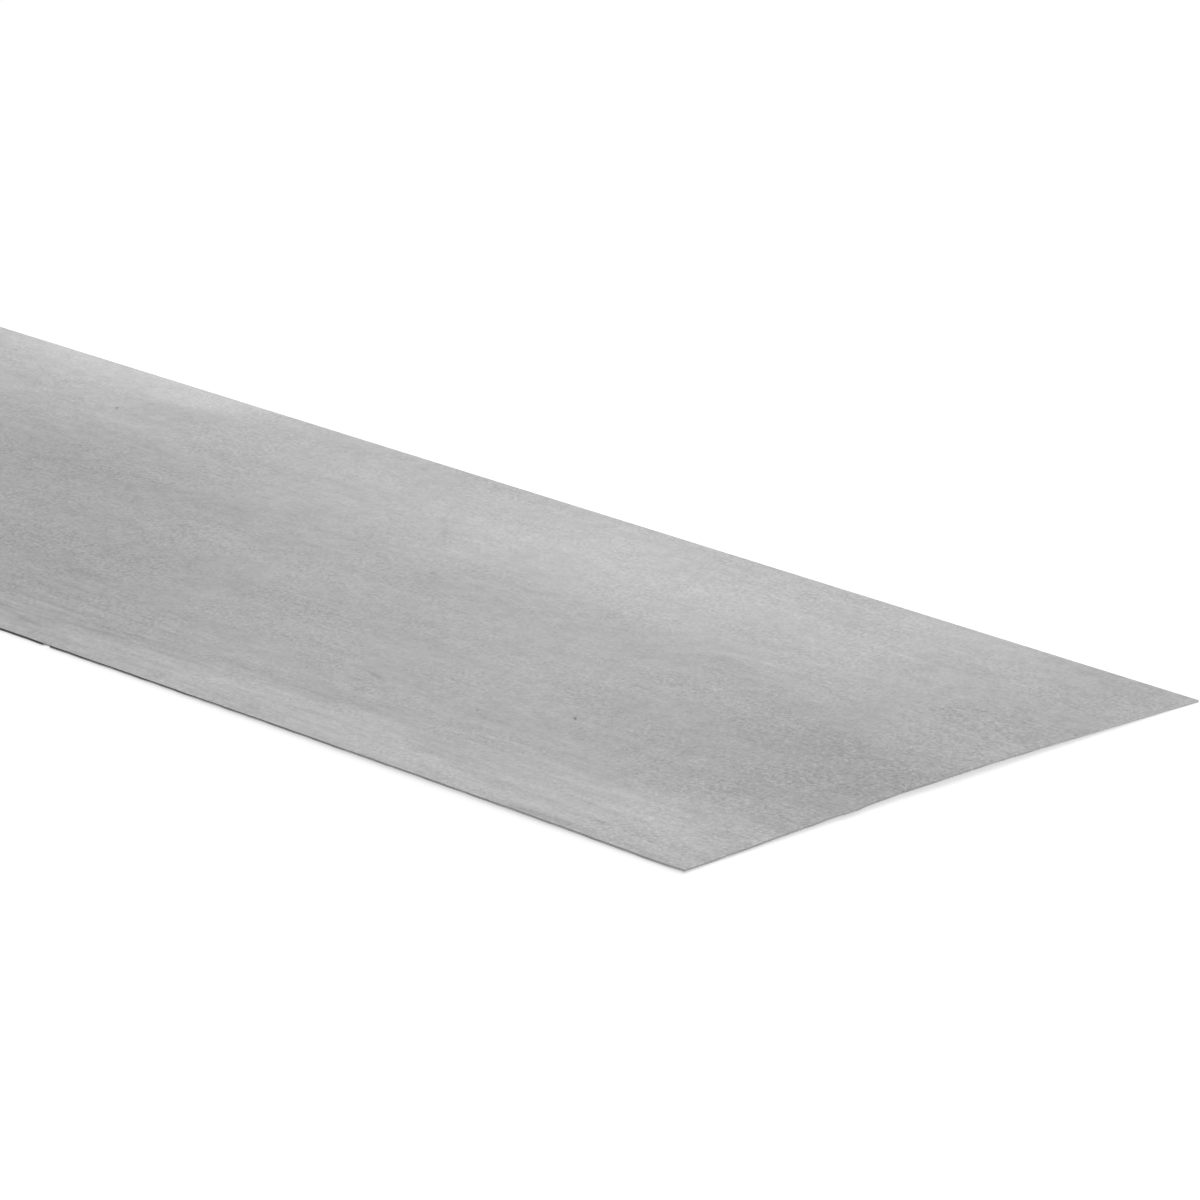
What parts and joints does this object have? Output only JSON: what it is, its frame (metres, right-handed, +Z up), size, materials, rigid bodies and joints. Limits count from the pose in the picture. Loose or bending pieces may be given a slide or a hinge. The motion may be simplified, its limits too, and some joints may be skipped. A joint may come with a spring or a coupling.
{
  "type": "galvanized steel sheet",
  "caption": "Thin rectangular galvanized steel sheet, satin zinc finish, square sheared edges and a slight lengthwise crossbow; stock for covers, patches and folded parts.",
  "frame": {"origin": "on the floor, under the middle of the sheet's bounding box", "axes": "+X along the sheet's length, +Y across it from the front long edge to the back long edge, +Z up, off the sheet's top face"},
  "size_m": [1, 0.3, 0.0034],
  "materials": {
    "zinc": "satin skin-passed zinc coating on steel, with fine lengthwise rolling streaks and soft cloudy mottling"
  },
  "bodies": {
    "root": {"sheet": "zinc"}
  },
  "joints": []
}
